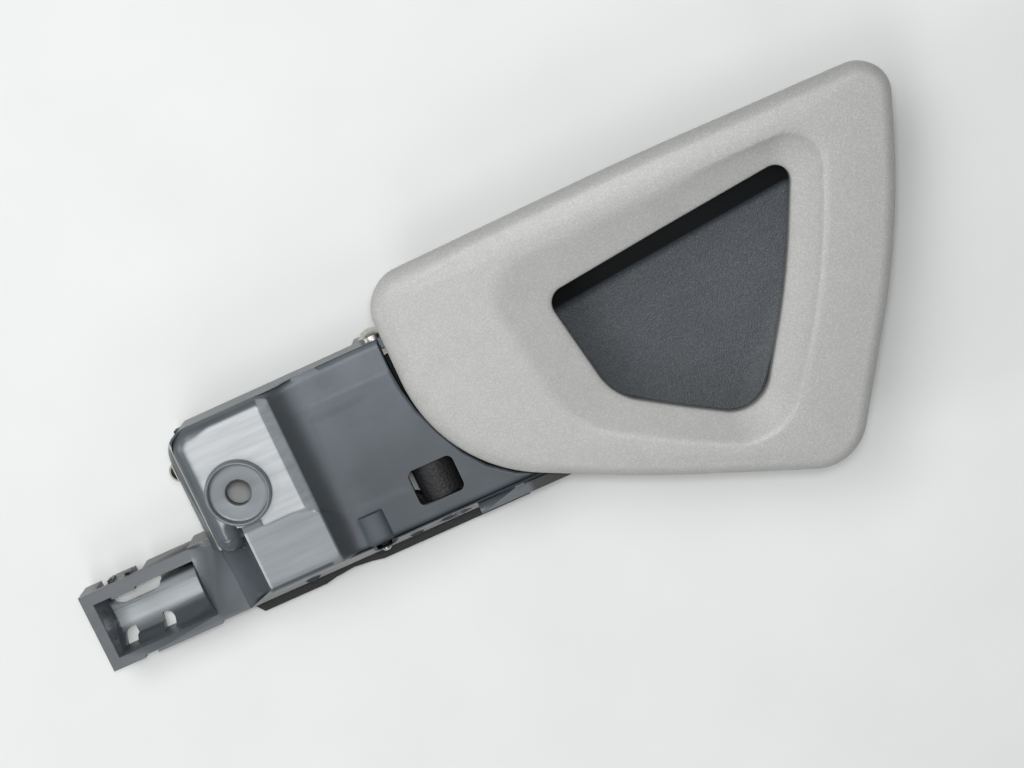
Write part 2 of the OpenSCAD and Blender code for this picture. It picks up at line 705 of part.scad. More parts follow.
module lever_shell() {
    color(paint) {
        lever_skin();
        for (p = shell_screw_pts)
            translate([p[0], p[1], plate_z + plate_t]) difference() {
                cylinder(r = 3, h = lever_z - shell_t - plate_z - plate_t + 0.4);
                translate([0, 0, -eps]) cylinder(d = screw_d, h = 3.2);
            }
    }
}

beam_x = 50.5;
beam_z = 16.3;
beam_r = 1.6;
arm_t = 3;
arm_ys = [spring_high + 0.9, 6, barrel_top - arm_t - 0.2];

module carrier_arm() {
    polygon([[hinge_x, hinge_z + 2.5], [hinge_x + 3.4, hinge_z - 0.2], [beam_x + 2, beam_z + 1.6],
        [53.6, plate_z - 3], [53.6, plate_z + eps], [58.4, plate_z + eps], [57.2, plate_z - 6],
        [56.6, beam_z - 0.6], [beam_x, beam_z - 2.4], [hinge_x - 1, hinge_z - 2.6]]);
}

// Cable hook below the barrel: a fork with a seat for the wire's end
module cable_arm() {
    across(barrel_low, cable_y + 2.4) polygon(concat(
        [[hinge_x + 2.8, hinge_z], [hinge_x + 3.6, hinge_z - 5]],
        arc(hook_x, cable_z, hook_r, 0, -180, 10),
        [[hinge_x - 2.8, hinge_z - 4], [hinge_x - 2.8, hinge_z]]));
}

module lever_carrier() {
    color(black) difference() {
        union() {
            rod(hinge_x, hinge_z, barrel_d / 2, barrel_low, spring_low - 0.3);
            rod(hinge_x, hinge_z, drum_d / 2, window_y - window_w / 2 + 0.1,
                window_y + window_w / 2 - 0.1);
            rod(hinge_x, hinge_z, barrel_d / 2, spring_high + 0.3, barrel_top);
            for (y = arm_ys)
                across(y, y + arm_t) carrier_arm();
            // Beam that ties the two lengths of barrel and the cable arm together
            across(barrel_low, arm_ys[2] + arm_t) translate([beam_x - beam_r, beam_z - beam_r])
                square(2 * beam_r);
            across(barrel_low, cable_y) polygon([[hinge_x, hinge_z + 2.6],
                [hinge_x + 3, hinge_z], [beam_x + beam_r, beam_z + beam_r],
                [beam_x - 1, beam_z - beam_r], [hinge_x - 1, hinge_z - 2.6]]);
            cable_arm();
            // Plate under the shell
            translate([0, 0, plate_z]) linear_extrude(plate_t) polygon(rounded(fitted(
                [[53, 29.5, 5], [53, -5, 6], [64, -15, 6], [75, -15, 5], [80, 29.5, 5]]), 0, 5));
            for (x = [61.5, 69])
                box(x, x + 1.6, -5, 24, plate_z - 2.2, plate_z + eps);
        }
        rod(hinge_x, hinge_z, pin_d / 2 + pin_gap, barrel_low - 1, barrel_top + 1);
        // Slot and round seat for the wire and its end
        rod(hook_x, cable_z, 1.9, cable_y - 4, cable_y + 4);
        box(hook_x - 6, hook_x, cable_y - 0.9, cable_y + 0.9, cable_z - 5, cable_z + 1.2);
        for (p = shell_screw_pts)
            translate([p[0], p[1], plate_z - 3]) cylinder(d = screw_d + 2 * screw_gap, h = plate_t + 6);
    }
}

module carrier_screws() {
    color(steel) for (p = shell_screw_pts)
        translate([p[0], p[1], plate_z]) screw(plate_t + 3);
}

module thrust_washer() {
    color(nylon) difference() {
        rod(hinge_x, hinge_z, barrel_d / 2 + 0.5, barrel_top + end_play,
            barrel_top + end_play + washer_t);
        rod(hinge_x, hinge_z, pin_d / 2 + pin_gap, barrel_top, barrel_top + 2);
    }
}

housing();
back_frame();
frame_screws();
hinge_pin();
pin_retainer();
bush_upper();
bush_lower();
spring_pin();
return_spring();
edge_clip();
rest_stops();
travel_stop();
lever_shell();
lever_carrier();
carrier_screws();
thrust_washer();
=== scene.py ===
import math

import bmesh
import bpy
import numpy as np
from mathutils import Matrix, Vector
from mathutils.geometry import delaunay_2d_cdt


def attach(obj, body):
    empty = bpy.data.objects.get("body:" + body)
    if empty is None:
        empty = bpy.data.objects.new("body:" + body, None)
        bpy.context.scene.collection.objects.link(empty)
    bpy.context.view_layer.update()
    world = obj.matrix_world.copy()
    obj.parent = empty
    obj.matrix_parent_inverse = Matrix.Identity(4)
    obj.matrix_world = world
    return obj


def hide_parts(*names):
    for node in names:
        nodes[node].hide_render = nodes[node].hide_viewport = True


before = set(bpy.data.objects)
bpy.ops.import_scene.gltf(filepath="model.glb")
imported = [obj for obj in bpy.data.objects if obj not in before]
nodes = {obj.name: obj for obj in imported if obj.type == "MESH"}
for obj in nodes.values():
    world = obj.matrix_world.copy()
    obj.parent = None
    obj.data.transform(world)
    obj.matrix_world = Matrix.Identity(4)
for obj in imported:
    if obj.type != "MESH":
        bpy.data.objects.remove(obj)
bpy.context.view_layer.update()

# Housing: one moulding in slate-grey plastic, semi-gloss where the mould was polished and
# held to the door by a screw through its boss. Flow marks and scuffs from handling mottle
# its faces, and the finger cup is finely grained. Light and shade are painted into its colour
# too: sheen on the block's faces, ring and left ledge, a highlight on the trough's floor, more
# light towards the panel's upper side, and shade in the valley, the trough's groove and the
# cup's walls. Shapes are sized in millimetres.
block, panel, neck = 31.0, 27.0, 15.0
left, high, low = -10.6, 19.2, -26.3
neck_high, neck_low = -12.0, -30.15
ramp_start, ramp_end = -13.2, -3.2
facet_start, valley_start = 12.85, 15.4
step_y, step_drop, facet_drop = -9.75, 0.3, 0.9
trough_left, trough_right = -47.8, -13.9


class Wire:
    """One socket of a finish's nodes, on which sums are written plainly."""

    def __init__(self, finish, socket):
        self.finish = finish
        self.socket = socket

    def maths(self, operation, first, second):
        return self.finish.node("ShaderNodeMath", {"operation": operation}, {0: first, 1: second})

    def __add__(self, other):
        return self.maths("ADD", self, other)

    def __radd__(self, other):
        return self.maths("ADD", other, self)

    def __sub__(self, other):
        return self.maths("SUBTRACT", self, other)

    def __rsub__(self, other):
        return self.maths("SUBTRACT", other, self)

    def __mul__(self, other):
        return self.maths("MULTIPLY", self, other)

    def __rmul__(self, other):
        return self.maths("MULTIPLY", other, self)

    def above(self, edge, width):
        """0 below the edge and 1 past it, over a soft width."""
        return self.finish.node(
            "ShaderNodeMapRange", {"interpolation_type": "SMOOTHSTEP"},
            {"Value": self, "From Min": edge - width, "From Max": edge + width})

    def below(self, edge, width):
        return 1 - self.above(edge, width)


class Finish:
    """A material whose nodes are made one at a time, around a plain Principled surface."""

    def __init__(self, name, **constants):
        self.material = bpy.data.materials.new(name)
        self.material.use_nodes = True
        self.tree = self.material.node_tree
        self.surface = self.tree.nodes["Principled BSDF"]
        for socket, value in constants.items():
            self.surface.inputs[socket.replace("_", " ")].default_value = value
        self.place = self.node("ShaderNodeTexCoord", {}, {}, "Object")

    def node(self, kind, settings, sockets, output=0):
        made = self.tree.nodes.new(kind)
        for setting, value in settings.items():
            setattr(made, setting, value)
        for socket, value in sockets.items():
            if isinstance(value, Wire):
                self.tree.links.new(value.socket, made.inputs[socket])
            else:
                made.inputs[socket].default_value = value
        return Wire(self, made.outputs[output])

    def noise(self, scale, detail=2.0, stretch=(1, 1, 1)):
        place = self.node("ShaderNodeMapping", {}, {"Vector": self.place, "Scale": stretch})
        return self.node("ShaderNodeTexNoise", {},
                         {"Vector": place, "Scale": scale, "Detail": detail})

    def cells(self, scale, output="Distance"):
        return self.node("ShaderNodeTexVoronoi", {}, {"Vector": self.place, "Scale": scale},
                         output)

    def mix(self, share, first, second):
        """The first colour where share is 0, and the second where it is 1."""
        return self.node("ShaderNodeMix", {"data_type": "RGBA"}, {0: share, 6: first, 7: second}, 2)

    def along(self):
        """The place's X, Y and Z in millimetres, as three values."""
        split = self.node("ShaderNodeSeparateXYZ", {}, {"Vector": self.place}).socket.node
        return [1000 * Wire(self, socket) for socket in split.outputs]

    def relief(self, height, depth):
        self.feed(Normal=self.node("ShaderNodeBump", {},
                                   {"Height": height, "Distance": depth, "Strength": 1.0}))

    def feed(self, **wires):
        for socket, wire in wires.items():
            self.tree.links.new(wire.socket, self.surface.inputs[socket.replace("_", " ")])

    def dress(self, *objects):
        for each in objects:
            each.data.materials.clear()
            each.data.materials.append(self.material)


def tint(red, green, blue):
    """A colour as it is seen on a screen, 0 to 255, turned into plain light."""
    seen = [c / 255 for c in (red, green, blue)]
    return tuple(c / 12.92 if c < 0.04045 else ((c + 0.055) / 1.055) ** 2.4 for c in seen) + (1.0,)


housing_finish = Finish("slate moulded plastic", Specular_IOR_Level=0.62)
x, y, z = housing_finish.along()
mottle = housing_finish.noise(70, 4)
scuffs = housing_finish.noise(520, 3, (0.10, 1.0, 1.0))
blotch = housing_finish.noise(60, 5).above(0.5, 0.2)


def disc(radius, width):
    """1 within a radius of the fixing hole's axis and 0 outside it, over a soft width."""
    return (x * x + y * y).below(radius ** 2, 2 * radius * width)


# Where each shade lies, over soft widths: the block's lower and upper faces and the highlight
# on its left edge, its ring, recess, left ledge and facet, the valley, the panel, the bracket's
# trough, the cup. Most of these places take painted sheen, highlight or shade.
lower_face = (z.above(block - step_drop - 0.25, 0.1) * y.below(step_y - 0.05, 0.3)
              * x.below(valley_start, 0.3))
upper_face = (z.above(block - 0.17, 0.14) * y.above(step_y - 0.15, 0.3)
              * x.below(facet_start + 0.05, 0.3) * (1 - disc(8.124, 0.123)))
# Painted highlight along the lower face's rounded left edge
edge_highlight = lower_face * x.below(ramp_end + 0.5, 0.3)
ring_top = disc(8.149, 0.0614) * z.above(block + 1.1, 0.3)
recess = disc(7.0, 0.143) * z.above(block - 2.0, 0.3)
# The ledge beside the block takes a painted reflection: a pale colour below
ledge = x.below(left - 0.08, 0.03) * y.above(neck_high + 0.1, 0.2) * z.above(panel - 2.0, 0.3)
facet_face = (z.above(block - facet_drop - 0.4, 0.2) * x.above(facet_start + 0.25, 0.3)
              * x.below(valley_start + 0.2, 0.3) * (1 - lower_face))
# The valley's slope takes painted shade: it is darkened below
valley = (x.above(valley_start + 0.1, 0.5) * x.below(valley_start + 4.6, 1.8)
          * y.below(high - 1.2, 0.6) * z.above(panel - 0.8, 0.4))
matt = x.above(valley_start + 3.6, 3.0) * z.above(panel - 1.5, 0.6)
in_trough = x.above(trough_left, 0.2) * x.below(trough_right, 0.3)
# The groove beside the trough's upper rail takes painted shadow: near black below
trough_wall = in_trough * y.above(-16.8, 0.4) * z.below(13.8, 0.6)
# The trough's floor takes a painted highlight: a pale band below
trough_floor = in_trough * y.above(-24.0, 1.6) * y.below(-17.2, 1.0) * z.below(12.5, 1.5)
cup = x.above(63.5, 1.0) * z.below(24.5, 0.4)

glossy = housing_finish.mix(mottle, tint(54, 59, 63), tint(84, 91, 97))
chalky = housing_finish.mix(mottle, tint(38, 45, 51), tint(68, 77, 85))
# Painted light: the panel's matt colour grows lighter towards its upper side
painted_upper_light = 0.8 * y.above(3.0, 16.0) + 0.2 * y.above(11.0, 0.3)
chalky = housing_finish.mix(painted_upper_light, chalky, tint(82, 91, 98))
chalky = housing_finish.mix(0.7 * blotch, chalky, tint(40, 48, 55))
# Painted sheen: a lighter colour for the block's lower face, facet, recess and ring top, marked
# with scuffs
painted_sheen = housing_finish.mix(scuffs, tint(94, 100, 105), tint(134, 140, 144))
# Painted sheen, brightest: the block's upper face and the highlight on the lower face's left edge,
# marked with scuffs
painted_bright_sheen = housing_finish.mix(scuffs, tint(134, 138, 141), tint(188, 192, 194))
pores = housing_finish.noise(3000, 2).above(0.55, 0.12)
grained = housing_finish.mix(pores, tint(48, 54, 60), tint(70, 77, 83))
# Painted shade: the cup's walls above its floor are near black
grained = housing_finish.mix(z.above(10.3, 0.3), grained, tint(20, 21, 22))
colour = housing_finish.mix(matt, glossy, chalky)
# The plastic's own tones, then painted shade, reflection, sheen and highlight laid over them, one
# share at a time
for share, shade in ((0.7 * valley, tint(38, 42, 45)),
                     (ledge, tint(168, 169, 162)),
                     (trough_wall, tint(12, 12, 13)),
                     (lower_face + 0.95 * facet_face + 0.75 * recess + 0.6 * ring_top, painted_sheen),
                     (upper_face + 0.8 * edge_highlight, painted_bright_sheen),
                     (0.8 * trough_floor, tint(170, 176, 180)),
                     (cup, grained)):
    colour = housing_finish.mix(share, colour, shade)
housing_finish.feed(Base_Color=colour, Roughness=0.34 + 0.16 * matt + 0.22 * cup
                    + 0.10 * (scuffs - 0.5) + 0.10 * (mottle - 0.5))
fine = housing_finish.noise(2600, 2) * (1 - cup) * 0.4
housing_finish.relief(fine + housing_finish.cells(2600) * cup, 0.00006)


def merged(node, name, angle):
    """A welded copy of a solid, smooth but for its edges sharper than an angle."""
    piece = bpy.data.objects.new(name, nodes[node].data.copy())
    bpy.context.scene.collection.objects.link(piece)
    mesh = bmesh.new()
    mesh.from_mesh(piece.data)
    bmesh.ops.remove_doubles(mesh, verts=mesh.verts, dist=0.000002)
    mesh.to_mesh(piece.data)
    mesh.free()
    piece.data.shade_smooth()
    piece.data.set_sharp_from_angle(angle=math.radians(angle))
    return piece


housing = merged("housing", "housing_moulding", 24)

# Housing's body: the part of that moulding that shows beside the lever, between neck and lever.
# A raised block with a flat polished face falls through a soft valley to the matt panel, and
# a shallow step, a bump over the spring's pin and a window over the barrel are moulded in.
nose_x, nose_y, nose_radius, nose_turns = left + 3.1, -9.8, 3.1, 24
nose_right, nose_high = -4.4, -8.0
corner_radius, body_end = 5.1, 44.9
edge_width, edge_drop = 1.7, 1.5
low_width, low_drop = 1.3, 1.0
valley_reach, valley_slant = 23.1, 0.10
window_left, window_right, window_low, window_high = 37.75, 49.45, -22.2, -13.0
window_radius = 1.6
socket_radius = 7.7
bump_x, bump_half, bump_rise, bump_high = 25.6, 3.3, 1.1, -18.3
step_half, notch_high = 0.22, 0.58
pocket_left, pocket_right, pocket_low, pocket_high, pocket_depth = 22.5, 36.5, -16.5, 8, 0.10
tab_left, tab_right, tab_low, tab_depth = 24.3, 44.3, 11.3, 0.06
spacing = 0.45


def smooth(value):
    """A soft step, 0 up to 0 and 1 from 1 on."""
    value = np.clip(value, 0, 1)
    return value * value * (3 - 2 * value)


def quarter(distance, width, depth):
    """Drop of a rounded edge at a distance from it, just short of upright at the edge."""
    share = np.clip(1 - distance / width, 0, 1)
    return depth * (1 - np.sqrt(1 - share ** 2 * 0.998))


def round_run(cx, cy, radius, first, last, count=14):
    """Points of an arc, between two angles in degrees."""
    angles = np.radians(np.linspace(first, last, count))
    return np.column_stack([cx + radius * np.cos(angles), cy + radius * np.sin(angles)])


def spread(points, closed=False):
    """Points at an even spacing along a line through the given ones."""
    points = np.asarray(points, float)
    if closed:
        points = np.vstack([points, points[:1]])
    along = np.concatenate([[0], np.cumsum(np.linalg.norm(np.diff(points, axis=0), axis=1))])
    count = max(2, int(round(along[-1] / spacing)) + 1)
    places = np.linspace(0, along[-1], count)
    line = np.column_stack([np.interp(places, along, points[:, k]) for k in (0, 1)])
    return line[:-1] if closed else line


def distance_to(line, points):
    """Distance from each point to a line of short runs."""
    nearest = np.full(len(points), np.inf)
    for a, b in zip(line[:-1], line[1:]):
        run = b - a
        t = np.clip(((points - a) @ run) / (run @ run), 0, 1)
        nearest = np.minimum(nearest, np.linalg.norm(points - a - t[:, None] * run, axis=1))
    return nearest


def inside(loop, points):
    """Whether each point lies within a closed loop."""
    within = np.zeros(len(points), bool)
    for (ax, ay), (bx, by) in zip(loop, np.roll(loop, -1, axis=0)):
        if ay != by:
            crosses = (ay > points[:, 1]) != (by > points[:, 1])
            within ^= crosses & (points[:, 0] < (bx - ax) * (points[:, 1] - ay) / (by - ay) + ax)
    return within


lever_side = np.array([[body_end, high], [body_end, 11], [45.3, 6], [46.5, 0], [49.5, -8],
                       [52.5, -14], [56.5, -19.2], [62, -23.6], [67.5, low]])
nose = np.vstack([[(nose_right, nose_high)],
                  round_run(nose_x, nose_y, nose_radius, 360, 180, nose_turns),
                  round_run(left + corner_radius, high - corner_radius, corner_radius, 180, 90),
                  [(body_end, high)]])
plan = spread(np.vstack([[(ramp_start, neck_high)], [(ramp_start, neck_low)], [(ramp_end, low)],
                         lever_side[::-1], nose[:nose_turns - 1:-1],
                         [(left + 0.01, neck_high)]]), closed=True)
nose_loop = np.vstack([nose[1:nose_turns + 1], [(left, 0), (nose_right, 0)]])


def step_line(px):
    """The fine step between the block's upper and lower faces, as Y over X."""
    return step_y - 0.055 * np.clip(px - 9.0, 0, None) ** 2


def block_face(px, py, lower, fall):
    """The block's flat face, its facet and the valley down to the panel."""
    crest = facet_start + 0.35 * smooth((-py - 2) / 7) + lower * 2.3
    facet = block - facet_drop * (1 - lower) * np.clip((px - crest) / 2.55, 0, 1)
    facet -= step_drop * lower
    return facet + (panel - facet) * fall


def spring_bump(px, py):
    """The half-round bump over the spring's pin, above the panel."""
    over = np.clip(1 - ((px - bump_x) / bump_half) ** 2, 0, 1) ** 0.5
    length = smooth((bump_high - py) / 0.2)
    return (panel - 0.2 + (bump_rise + 0.2) * over * length - 9 * (over <= 0)
            - quarter(py - low, low_width, low_drop))


def ramp_height(px, py, edge_gap):
    """The ramp from the neck up to the block's lower face, beside the rounded nose."""
    lean = (low - neck_low) / (ramp_end - ramp_start)
    low_edge = low - lean * np.clip(ramp_end - px, 0, None)
    rise = np.clip((px - ramp_start) / (ramp_end - ramp_start), 0, 1)
    ramp = neck + 0.02 + (block - step_drop - neck) * (0.3 * rise + 0.7 * rise ** 3)
    ramp -= quarter(py - low_edge, 1.5, 1.2) * smooth((px + 12.0) / 3)
    nose_foot = 28.3
    return np.maximum(ramp, np.minimum(nose_foot - 5.0 * edge_gap, nose_foot) * (px < -3.9))


def body_height(points):
    """Height of the body's face over each place on its plan."""
    px, py = points[:, 0], points[:, 1]
    lower = smooth((step_line(px) + step_half - py) / (2 * step_half))
    valley_end = valley_reach + py * valley_slant
    facet_end = valley_start - 0.1 * lower
    fall = 1 - (1 - np.clip((px - facet_end) / (valley_end - facet_end), 0, 1)) ** 1.9
    tall = 1 - fall
    face = block_face(px, py, lower, fall)
    # Rounded edges round the nose and the upper side, along the lower side, which the block
    # also leans down to, and under the lever
    edge_gap = distance_to(nose, points)
    on_nose = inside(nose_loop, points) | (py > nose_high)
    broad = tall * (1.5 + 1.6 * smooth((0.5 - px) / 6))
    rounded = on_nose & ((px < nose_right) | (py > 0))
    face -= quarter(edge_gap, edge_width + broad, edge_drop + 1.3 * tall) * rounded
    face -= quarter(py - low, low_width + 1.0 * tall, low_drop + 1.2 * tall)
    face -= 0.35 * tall * np.clip(1 - (py - low) / 2.3, 0, 1)
    face -= quarter(distance_to(lever_side, points), 0.7, 0.5)
    # The bump with the notch at its upper end, and the panel's shallow pocket and tab
    face = np.maximum(face, spring_bump(px, py))
    notch = (np.abs(py - bump_high - 0.3) < 0.28) & (np.abs(px - bump_x) < bump_half)
    face = np.where(notch, face - 1.0, face)
    on_panel = fall > 0.97
    pocket = np.minimum(np.minimum(px - pocket_left, pocket_right - px),
                        np.minimum(py - pocket_low, pocket_high - py))
    face -= pocket_depth * smooth((pocket + 1.0) / 2.4) * on_panel
    tab = np.minimum(np.minimum(px - tab_left, tab_right - px), py - tab_low)
    face -= tab_depth * smooth((tab + 0.15) / 0.3) * on_panel
    beyond = (py < nose_high) & (px < 2) & ~on_nose
    return np.where(beyond, np.minimum(ramp_height(px, py, edge_gap), face), face)


def patch(loops, lines, height):
    """A sheet over the first loop less the others, its points lifted by height."""
    lines = [spread(line) for line in lines]
    fixed = np.vstack(loops + lines)
    bounds = loops[0].min(axis=0), loops[0].max(axis=0)
    grid = np.stack(np.meshgrid(*[np.arange(a + 0.2, b, spacing) for a, b in zip(*bounds)]), -1)
    grid = grid.reshape(-1, 2)
    grid = grid[inside(loops[0], grid)]
    near = np.zeros(len(grid), bool)
    for point in fixed:
        near |= np.linalg.norm(grid - point, axis=1) < 0.6 * spacing
    grid = grid[~near]
    edges, start = [], 0
    for loop in loops:
        edges += [(start + k, start + (k + 1) % len(loop)) for k in range(len(loop))]
        start += len(loop)
    for line in lines:
        edges += [(start + k, start + k + 1) for k in range(len(line) - 1)]
        start += len(line)
    points = [Vector(point) for point in np.vstack([fixed, grid]).tolist()]
    flat, _, faces, _, _, _ = delaunay_2d_cdt(points, edges, [], 0, 0.0001)
    flat = np.array([tuple(point) for point in flat])
    faces = np.array(faces)
    middles = flat[faces].mean(axis=1)
    keep = inside(loops[0], middles)
    for loop in loops[1:]:
        keep &= ~inside(loop, middles)
    return flat, faces[keep], height(flat)


def shaped(name, points, faces, angle=180):
    """A piece from points in millimetres, smooth but for its edges sharper than an angle."""
    mesh = bpy.data.meshes.new(name)
    mesh.from_pydata((np.asarray(points) / 1000).tolist(), [], [tuple(face) for face in faces])
    mesh.validate()
    mesh.shade_smooth()
    if angle < 180:
        mesh.set_sharp_from_angle(angle=math.radians(angle))
    piece = bpy.data.objects.new(name, mesh)
    bpy.context.scene.collection.objects.link(piece)
    return piece


window = spread(np.vstack([
    round_run(cx, cy, window_radius, first, first + 90) for cx, cy, first in (
        (window_right - window_radius, window_high - window_radius, 0),
        (window_left + window_radius, window_high - window_radius, 90),
        (window_left + window_radius, window_low + window_radius, 180),
        (window_right - window_radius, window_low + window_radius, 270))]), closed=True)
socket = spread(round_run(0, 0, socket_radius, 0, 360, 90)[:-1], closed=True)
step_x = np.linspace(4.5, 15.0, 20)
creases = [[(facet_start, 16.0), (12.9, -2), (13.2, -9)],
           [(valley_start, 16.2), (15.3, -23)],
           np.column_stack([step_x, step_line(step_x) + step_half]),
           np.column_stack([step_x, step_line(step_x) - step_half]),
           [(ramp_end, -9.6), (ramp_end, -24)],
           nose[1:nose_turns],
           [(-12.9, -12.12), (-10.9, -12.12)],
           [(22.4, bump_high + 0.02), (28.8, bump_high + 0.02)],
           [(22.4, bump_high + notch_high), (28.8, bump_high + notch_high)]]
flat, faces, heights = patch([plan, window, socket], creases, body_height)
points = np.column_stack([flat, heights])
border = [int(np.argmin(np.linalg.norm(flat - point, axis=1))) for point in plan]

# The body's side walls: three rows of points from its border down over the solid's walls
wall_foot, deeper, skin, draft = 24.0, 3.5, 0.04, 0.28
at_low = smooth((low + 0.3 - plan[:, 1]) / 0.3)
at_high = smooth((plan[:, 1] - high + 0.3) / 0.3)
foot = wall_foot - deeper * np.maximum(at_high, (plan[:, 0] < 0) & (plan[:, 1] > neck_high + 0.1))
rows = []
for share in (0.2, 0.6, 1.0):
    row = points[border].copy()
    drop = share * np.clip(row[:, 2] - foot, 0.4, None)
    row[:, 2] -= drop
    row[:, 1] += skin * at_high - draft * drop * at_low
    row[:, 0] -= skin * (plan[:, 0] < left + 0.2)
    rows.append(row)
count = len(border)
upper, walls = border, []
for level in range(len(rows)):
    under = [len(points) + level * count + k for k in range(count)]
    for k in range(count):
        n = (k + 1) % count
        walls.append((upper[k], upper[n], under[n], under[k]))
    upper = under
body = shaped("housing_body", np.vstack([points] + rows), faces.tolist() + walls, 42)


def strip(piece, covered):
    """Takes away the faces of a copied solid whose middles and normals say they are covered."""
    mesh = bmesh.new()
    mesh.from_mesh(piece.data)
    mesh.faces.ensure_lookup_table()
    middles = np.array([face.calc_center_median() for face in mesh.faces]) * 1000
    normals = np.array([face.normal for face in mesh.faces])
    gone = covered(middles, normals)
    bmesh.ops.delete(mesh, geom=[face for face, out in zip(mesh.faces, gone) if out],
                     context="FACES")
    mesh.to_mesh(piece.data)
    mesh.free()


def under_body(middles, normals):
    """Top faces under the body and its ramp, but for the ledge beside the block."""
    px, py, pz = middles.T
    raised = (pz > 21) | (py < neck_high + 0.1) & (px < -2) & (pz > neck - 0.1)
    on_ledge = (px < -7) & (py > -11.5) & (pz < 27)
    return inside(plan, middles[:, :2]) & (normals[:, 2] > 0.3) & raised & ~on_ledge


def under_steps(middles, normals):
    """The small upright faces of the solid's bump, pocket and step."""
    return (inside(plan * 0.985, middles[:, :2]) & (middles[:, 2] > 25.6)
            & (np.abs(normals[:, 2]) < 0.9))


def under_boss(middles, normals):
    """Every face round the fixing hole, but for the underside of the screw's seat."""
    return (np.linalg.norm(middles[:, :2], axis=1) < 8.9) & (np.abs(middles[:, 2] - 28.5) > 0.1)


for covered in (under_body, under_steps, under_boss):
    strip(housing, covered)

# Fixing boss: a raised ring round the recess of the fixing screw's head, in the same plastic.
# It is turned here as one profile, from the block's face over the ring down to the hole.
boss_profile = [(8.12, 28.6), (8.1, 30.6), (8.05, 31.6), (7.97, 32.3), (7.84, 32.7),
                (7.66, 32.93), (7.46, 33.0), (7.26, 32.92), (7.12, 32.7), (7.06, 32.4),
                (7.02, 31.5), (6.95, 31.18), (6.7, 31.06), (6.3, 31.02), (3.45, 31.02),
                (3.2, 30.95), (3.1, 30.75), (3.08, 28.45)]
boss_turns = 120


def lift(loop, height):
    """A loop of the plan's points, all set at one height."""
    return np.column_stack([loop, np.full(len(loop), height)])


def loft(name, rings, closed=True, lid=False, angle=180):
    """A skin over rings of points, each joined to the next, and closed by the first or a lid."""
    count, around = len(rings), len(rings[0])
    faces = []
    for i in range(count if closed else count - 1):
        j = (i + 1) % count
        for k in range(around):
            n = (k + 1) % around
            faces.append((i * around + k, j * around + k, j * around + n, i * around + n))
    if lid:
        last = (count - 1) * around
        faces.append((last, *range(last + around - 1, last, -1)))
    return shaped(name, np.vstack(rings), faces, angle)


turn = np.linspace(0, 2 * math.pi, boss_turns, endpoint=False)
circle = np.column_stack([np.cos(turn), np.sin(turn)])
boss = loft("fixing_boss", [lift(radius * circle, height) for radius, height in boss_profile],
            closed=False, angle=50)

# Finger cup: the bowl of the same moulding behind the lever's opening, finely grained inside.
# Its walls lean in, steeply at the upper side, where the floor ends in a slanted line, and a
# small radius joins them to the flat floor.
cup_corners = [(67, 21, 8.5), (79, -17.5, 15), (121, -43, 13), (150, -8, 150), (163, 24.5, 8.5)]
floor_corners = [(79, 5.0, 5), (84.5, -14.5, 14), (121.3, -41.0, 11), (147, -8, 150),
                 (154.5, 12.0, 4)]
cup_section = [(0.0, 25.0), (0.2, 22.1), (0.4, 19.1), (0.6, 16.0), (0.8, 12.9), (0.93, 10.8),
               (0.97, 10.15), (1.0, 9.78), (1.04, 9.56), (1.09, 9.5)]


def outline(corners, inset=0, turns=20, runs=8):
    """Rounded outline through the corners (x, y, radius), moved inwards by inset."""
    points = np.array([corner[:2] for corner in corners], float)
    arcs = []
    for k, (_, _, radius) in enumerate(corners):
        here = points[k]
        to_last = points[k - 1] - here
        to_next = points[(k + 1) % len(corners)] - here
        u, v = to_last / np.linalg.norm(to_last), to_next / np.linalg.norm(to_next)
        half = math.acos(float(u @ v)) / 2
        middle = here + (u + v) / np.linalg.norm(u + v) * radius / math.sin(half)
        start = here + u * radius / math.tan(half) - middle
        sweep = (math.pi - 2 * half) * np.arange(turns + 1) / turns
        angles = math.atan2(start[1], start[0]) + sweep
        arcs.append(middle + (radius - inset) * np.stack([np.cos(angles), np.sin(angles)], 1))
    loop = []
    for k, arc in enumerate(arcs):
        after = arcs[(k + 1) % len(arcs)][0]
        run = arc[-1] + (after - arc[-1]) * (np.arange(1, runs) / runs)[:, None]
        loop.append(np.vstack([arc, run]))
    return np.vstack(loop)


cup_loop, floor_loop = outline(cup_corners), outline(floor_corners)


def under_cup(middles, normals):
    """The inside of the solid's own cup, between its floor and its rim."""
    return (inside(cup_loop, middles[:, :2]) & (normals[:, 2] > 0.02)
            & (middles[:, 2] > 9) & (middles[:, 2] < 24.9))


strip(housing, under_cup)
bowl = loft("finger_cup", [lift(cup_loop + (floor_loop - cup_loop) * share, height)
                           for share, height in cup_section], closed=False, lid=True)

housing_finish.dress(housing, body, boss, bowl)
for piece in (housing, body, boss, bowl):
    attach(piece, "housing")
    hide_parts("housing")

# Back frame: black plastic moulding with a fine grain, screwed to the housing's back.
# Only its lower edge shows, as a black strip under the housing. The lever's carrier is
# moulded in the same plastic.
black_finish = Finish("black grained plastic", Specular_IOR_Level=0.4)
speckle = black_finish.noise(1800, 3)
black_finish.feed(Base_Color=black_finish.mix(speckle, tint(14, 14, 15), tint(34, 35, 37)),
                  Roughness=0.5 + 0.2 * speckle)
black_finish.relief(black_finish.cells(1300), 0.00012)
black_finish.dress(nodes["back_frame"], nodes["lever_carrier"])

# Steel pieces: drawn pins, push-on washer, spring and clip, and zinc-plated screws.
# Faint drawing marks run along them, with a little dulling from handling.


def steel(name, dark, bright, roughness, *pieces):
    made = Finish(name, Metallic=1.0)
    marks = made.noise(900, 3, (1, 0.15, 1))
    made.feed(Base_Color=made.mix(marks, tint(*dark), tint(*bright)),
              Roughness=roughness + 0.15 * marks)
    made.relief(marks, 0.00002)
    made.dress(*[nodes[piece] for piece in pieces])


